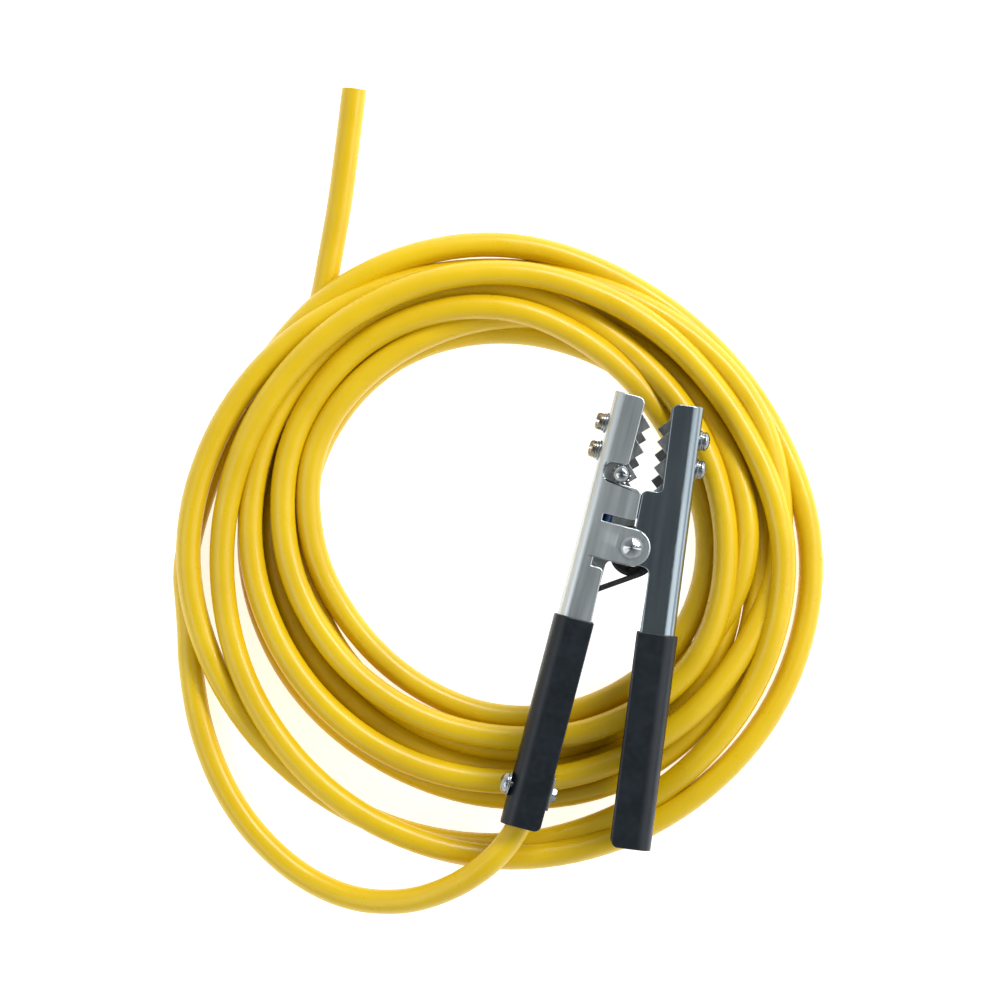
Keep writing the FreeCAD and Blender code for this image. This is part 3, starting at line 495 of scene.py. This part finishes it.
def joined(name, parts):
    """One mesh of several forms, each given with the matrix that puts it in its place."""
    whole = bmesh.new()
    for form, where in parts:
        form.transform(where)
        mesh = bpy.data.meshes.new("part")
        form.to_mesh(mesh)
        form.free()
        whole.from_mesh(mesh)
        bpy.data.meshes.remove(mesh)
    mesh = bpy.data.meshes.new(name)
    whole.to_mesh(mesh)
    whole.free()
    return mesh


def block(low, high):
    """A box between two millimetre corners."""
    form = bmesh.new()
    bmesh.ops.create_cube(form, size=1)
    for vert in form.verts:
        vert.co = Vector([
            (near if part < 0 else far) * MM for part, near, far in zip(vert.co, low, high)
        ])
    return form


def carve(name, form, cutters):
    """The form without its cutters."""
    parts = []
    for number, solid in enumerate([form] + cutters):
        mesh = bpy.data.meshes.new(f"{name}_{number}")
        solid.to_mesh(mesh)
        solid.free()
        thing = bpy.data.objects.new(f"{name}_{number}", mesh)
        bpy.context.scene.collection.objects.link(thing)
        parts.append(thing)
    for cutter in parts[1:]:
        hollow = parts[0].modifiers.new("cut", "BOOLEAN")
        hollow.operation = "DIFFERENCE"
        hollow.object = cutter
        hollow.solver = "EXACT"
    bpy.context.view_layer.update()
    graph = bpy.context.evaluated_depsgraph_get()
    done = bmesh.new()
    done.from_mesh(bpy.data.meshes.new_from_object(parts[0].evaluated_get(graph)))
    for thing in parts:
        mesh = thing.data
        bpy.data.objects.remove(thing)
        bpy.data.meshes.remove(mesh)
    return done


def cheese_head(radius, high):
    """A slotted head with a rounded rim."""
    form = turned([
        (0, 0), (radius - 0.15, 0), (radius, 0.2), (radius, high * 0.5), (radius - 0.25, high * 0.74),
        (radius - 0.8, high * 0.9), (radius - 1.8, high * 0.98), (0, high),
    ])
    slot = block((-0.65, -radius - 1, high - 1.9), (0.65, radius + 1, high + 1))
    return carve("cheese", form, [slot])


def cross_head(radius, high, rise=0.0):
    """A domed head with a cross recess."""
    arc = [(radius * math.cos(math.radians(a)), rise + (high - rise) * math.sin(math.radians(a)))
           for a in range(0, 90, 9)]
    form = turned([(0, 0), (radius - 0.1, 0)] + arc + [(0, high)])
    deep = high - 1.9
    recess = [block((-0.42, -1.9, deep), (0.42, 1.9, high + 1)),
              block((-1.9, -0.42, deep), (1.9, 0.42, high + 1))]
    return carve("cross", form, recess)


def smooth_head(radius, high):
    """A plain domed head with a small rim."""
    arc = [(radius * math.cos(math.radians(a)), 0.35 + (high - 0.35) * math.sin(math.radians(a)))
           for a in range(0, 90, 6)]
    return turned([(0, 0), (radius - 0.15, 0)] + arc + [(0, high)])


def flat_ring(radius, bore, thick):
    """A stamped washer with broken edges."""
    return ring([(bore, 0.1), (bore + 0.1, 0), (radius - 0.15, 0), (radius, 0.2), (radius, thick - 0.2),
                 (radius - 0.2, thick), (bore + 0.1, thick), (bore, thick - 0.1)])


def split_ring(radius, bore, thick):
    """A spring washer: a wound square section with a slanting cut."""
    form = bmesh.new()
    rows = []
    steps = 40
    for step in range(steps + 1):
        angle = math.radians(8 + 344 * step / steps)
        lift = 0.12 * (step / steps - 0.5)
        row = []
        for out, up in ((bore, 0.1), (radius - 0.15, 0.1), (radius, 0.25), (radius, thick - 0.25),
                        (radius - 0.15, thick - 0.1), (bore, thick - 0.1)):
            row.append(form.verts.new((out * MM * math.cos(angle), out * MM * math.sin(angle),
                                       (up + lift) * MM)))
        rows.append(row)
    strip(form, rows)
    return form


def tooth_ring(radius, bore, thick, teeth=12):
    """A lock washer with twisted outer teeth."""
    form = bmesh.new()
    rows = []
    for n in range(teeth * 4):
        angle = 2 * math.pi * n / (teeth * 4)
        out = radius if n % 4 in (0, 1) else radius - 1.1
        twist = (0.22, -0.22, 0, 0)[n % 4]
        row = []
        for reach, up in ((bore, 0.2), (out, 0.2 + twist), (out, thick - 0.2 + twist),
                          (bore, thick - 0.2)):
            row.append(form.verts.new((reach * MM * math.cos(angle), reach * MM * math.sin(angle),
                                       up * MM)))
        rows.append(row)
    strip(form, rows, closed=True)
    return form


def hexagon(flats, bore, thick):
    """A nut with chamfered corners and a countersunk bore."""
    corner = flats / math.sqrt(3)
    form = ring([(bore, 0.4), (bore + 0.4, 0), (flats / 2 - 0.1, 0), (corner, 0.45), (corner, thick - 0.45),
                 (flats / 2 - 0.1, thick), (bore + 0.4, thick), (bore, thick - 0.4)])
    for side in range(6):
        normal = Vector((math.cos(math.pi * side / 3), math.sin(math.pi * side / 3), 0))
        shape = form.verts[:] + form.edges[:] + form.faces[:]
        bmesh.ops.bisect_plane(form, geom=shape, plane_co=normal * flats / 2 * MM, plane_no=normal,
                               clear_outer=True)
        rim = [edge for edge in form.edges if edge.is_boundary]
        bmesh.ops.holes_fill(form, edges=rim)
    bmesh.ops.recalc_face_normals(form, faces=form.faces)
    return form


def finer(node, parts, paint, slot, body):
    """A fine piece made of parts, in place of a node of the frame."""
    mesh = joined(node + "_fine", parts)
    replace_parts(place(node + "_fine", mesh, paint, slot, body), node)


for arm in ARMS:
    softened(f"{arm}_channel", 0.5 * MM, MATERIALS[arm + "_steel"], "stainless_steel", arm)
for arm in ARMS:
    softened(f"{arm}_jaw", 0.3 * MM, jaw_steel, "jaw_steel", arm)
for arm in ARMS:
    softened(arm + "_grip", 0.6 * MM, vinyl, "vinyl_grip", arm)
softened("strain_relief_saddle", 0.3 * MM, galvanised, "zinc_plate", "cable_arm")
softened("ring_terminal", 0.3 * MM, tinned, "tinned_copper", "cable_arm")

for arm, radius in (("cable_arm", 4.3), ("plain_arm", 4.75)):
    screws, flats, locks, nuts = [], [], [], []
    for number, v in enumerate(JAW_SCREWS_AT):
        outward = standing(arm, (0, v, 0), (-1, 0, 0), (0, 1, 0))
        turned_to = (-4, 7)[number] + (45 if arm == "plain_arm" else 0)  # as tightened by hand
        slant = Matrix.Rotation(math.radians(turned_to), 4, "Z")
        flats.append((flat_ring(5.25, 2.55, 1), outward))
        locks.append((split_ring(4.6, 2.55, 1.4), outward @ Matrix.Translation((0, 0, MM)) @ slant))
        seat = outward @ Matrix.Translation((0, 0, 2.4 * MM)) @ slant
        head = cheese_head(radius, 3.6) if arm == "cable_arm" else cross_head(radius, 2.9, 0.4)
        screws.append((head, seat))
        screws.append((turned([(0, -10.2), (1.7, -10.2), (2.14, -9.8), (2.14, 0.2), (0, 0.2)]), seat))
        screws.append((threaded(-9.9, -0.4, 2.5), seat))
        inward = standing(arm, (3.15, v, 0), (1, 0, 0), (0, 1, 0))
        nuts.append((hexagon(8, 2.2, 4), inward))
    for kind, parts in (("jaw_screws", screws), ("flat_washers", flats), ("spring_washers", locks),
                        ("jaw_nuts", nuts)):
        # Only the cable arm's jaw screws take the tan zinc, whose tint is partly a painted reflection of
        # the yellow cable.
        paint = tan_zinc_and_painted_cable_reflection if (arm, kind) == ("cable_arm", "jaw_screws") else zinc
        finer(f"{arm}_{kind}", parts, paint, "zinc_plate", arm)

# The torsion spring, whose turns lean as its legs push the arms apart.
SPRING_START, SPRING_TURNS, SPRING_RADIUS, SPRING_RISE = 280, 3.943, 10.4, 10.5
SPRING_TOP, SPRING_BOTTOM = Vector((1.6, -3.2)), Vector((0.4, -0.6))
SPRING_STEPS = 96
winding = []
for step in range(SPRING_STEPS + 1):
    share = step / SPRING_STEPS
    angle = math.radians(SPRING_START - 360 * SPRING_TURNS * share)
    middle = SPRING_BOTTOM.lerp(SPRING_TOP, share)
    winding.append(Vector((middle.x + SPRING_RADIUS * math.cos(angle),
                           middle.y + PIVOT_Y + SPRING_RADIUS * math.sin(angle),
                           SPRING_RISE * (share - 0.5))))
first, last = math.radians(SPRING_START), math.radians(SPRING_START - 360 * SPRING_TURNS)
lower_way = Vector((-math.sin(first), math.cos(first), 0))
upper_way = Vector((math.sin(last), -math.cos(last), 0))
winding = [winding[0] + lower_way * reach for reach in (19.4, 10, 2)] + winding
winding += [winding[-1] + upper_way * reach for reach in (2, 16, 34)]
spring = spline("torsion_spring_wire", winding, 1.4 * MM)
spring.data.materials.append(black)
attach(spring, "cable_arm")
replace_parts(spring, "torsion_spring")

# The terminal's screw, washer and nut, across the cable arm's jaw.
over = standing("cable_arm", (13.2, 39.7, -8.4), (0, 0, -1), (1, 0, 0))
under = standing("cable_arm", (13.2, 39.7, -5.9), (0, 0, 1), (1, 0, 0))
finer("terminal_screw", [
    (smooth_head(4.4, 3.8), over @ Matrix.Translation((0, 0, MM))),
    (turned([(0, -6.3), (1.3, -6.3), (1.66, -5.9), (1.66, 1.2), (0, 1.2)]), over),
    (threaded(-6, 0.6, 2), over),
], polished, "zinc_plate", "cable_arm")
lock_washer = [(tooth_ring(4.7, 2.05, 1), over)]
finer("terminal_lock_washer", lock_washer, zinc, "zinc_plate", "cable_arm")
finer("terminal_nut", [(hexagon(7, 1.7, 3.2), under)], zinc, "zinc_plate", "cable_arm")

# The pivot rivet: turned heads, the upper one nearly a cone with a rounded rim.
top, bottom, rivet_high = 11.8, -12.1, 3.2
dome = [(5.35, 0), (5.6, 0.3), (5.5, 0.75), (5.1, 1.15), (3.6, 1.95), (1.8, 2.75), (0.7, 3.1),
        (0, rivet_high)]
profile = [(0, bottom - rivet_high)]
profile += [(radius, bottom - rise) for radius, rise in dome[-2::-1]]
profile += [(4, bottom), (4, top)] + [(radius, top + rise) for radius, rise in dome]
rivet = [(turned(profile, 64), Matrix.Translation((0, PIVOT_Y * MM, 0)))]
finer("pivot_rivet", rivet, polished, "polished_steel", "cable_arm")

# The clamp screw of the strain relief, beside the cable.
outside = standing("cable_arm", (-1.6, 203, -6.2), (-1, 0, 0), (0, 1, 0))
finer("strain_relief_screw", [
    (smooth_head(5.4, 4.4), outside @ Matrix.Translation((0, 0, MM))),
    (turned([(0, -23.9), (1.3, -23.9), (1.66, -23.5), (1.66, 1.2), (0, 1.2)]), outside),
    (threaded(-23.6, 0.6, 2), outside),
], zinc, "zinc_plate", "cable_arm")
relief_washer = [(flat_ring(6.1, 2.05, 1), outside)]
finer("strain_relief_washer", relief_washer, zinc, "zinc_plate", "cable_arm")
inside = standing("cable_arm", (19.9, 203, -6.2), (1, 0, 0), (0, 1, 0))
finer("strain_relief_nut", [(hexagon(7, 1.7, 2.2), inside)], zinc, "zinc_plate", "cable_arm")


# ---- the cable as one cord ---------------------------------------------------------------------------

cable.data.materials.append(yellow)
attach(cable, "cable_arm")
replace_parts(cable, "cable_lead", "cable_coil", "cable_tail")

# The cable's cut end: the jacket's rim, its filler, the two cores and their copper strands.
end, before = Vector(TAIL[-1]) * MM, Vector(TAIL[-2]) * MM
away = (end - before).normalized()
level = away.cross(Vector((0, 0, 1))).normalized()
facing = Matrix((level, away.cross(level), away)).transposed().to_4x4()
at_end = Matrix.Translation(end) @ facing
cores = [("blue", -2.45, blue), ("brown", 2.45, brown)]
mesh = joined("cable_end_filler", [(turned([(0, -2), (5, -2), (5, 0.08), (0, 0.08)]), at_end)])
filler = mottled(
    "filler", (0.55, 0.53, 0.47), 0, 0.8, (0.001, 3),
    [(0.3, (0.42, 0.40, 0.34)), (0.7, (0.62, 0.60, 0.54))],
)
copper = mottled(
    "copper_strands", (0.70, 0.32, 0.18), 1.0, 0.3, (0.0006, 2),
    [(0.3, (0.55, 0.22, 0.12)), (0.7, (0.80, 0.42, 0.26))],
)
end_pieces = [place("cable_end_filler", mesh, filler, "yellow_jacket", "cable_arm")]
for colour, aside, paint in cores:
    shift = at_end @ Matrix.Translation((aside * MM, 0, 0))
    core = turned([(0, -2), (2.35, -2), (2.35, 0.1), (2.25, 0.18), (0, 0.18)])
    mesh = joined(f"cable_end_core_{colour}", [(core, shift)])
    end_pieces.append(place(f"cable_end_core_{colour}", mesh, paint, f"{colour}_core", "cable_arm"))
    strands = []
    for ring_radius, count in ((0, 1), (0.48, 6), (0.96, 12)):
        for number in range(count):
            angle = 2 * math.pi * number / count
            wire = turned([(0, 0), (0.23, 0), (0.23, 0.32), (0.15, 0.38), (0, 0.4)], 12)
            where = (ring_radius * math.cos(angle) * MM, ring_radius * math.sin(angle) * MM, 0)
            strands.append((wire, shift @ Matrix.Translation(where)))
    mesh = joined(f"cable_end_copper_{colour}", strands)
    end_pieces.append(place(f"cable_end_copper_{colour}", mesh, copper, "tinned_copper", "cable_arm"))

floor_paint = material("floor_paint", (0.9, 0.9, 0.9), 0, 0.6, Emission_Strength=0.7)
floor_paint.node_tree.nodes["Principled BSDF"].inputs["Emission Color"].default_value = (1, 1, 1, 1)
floor_mesh.materials.append(floor_paint)
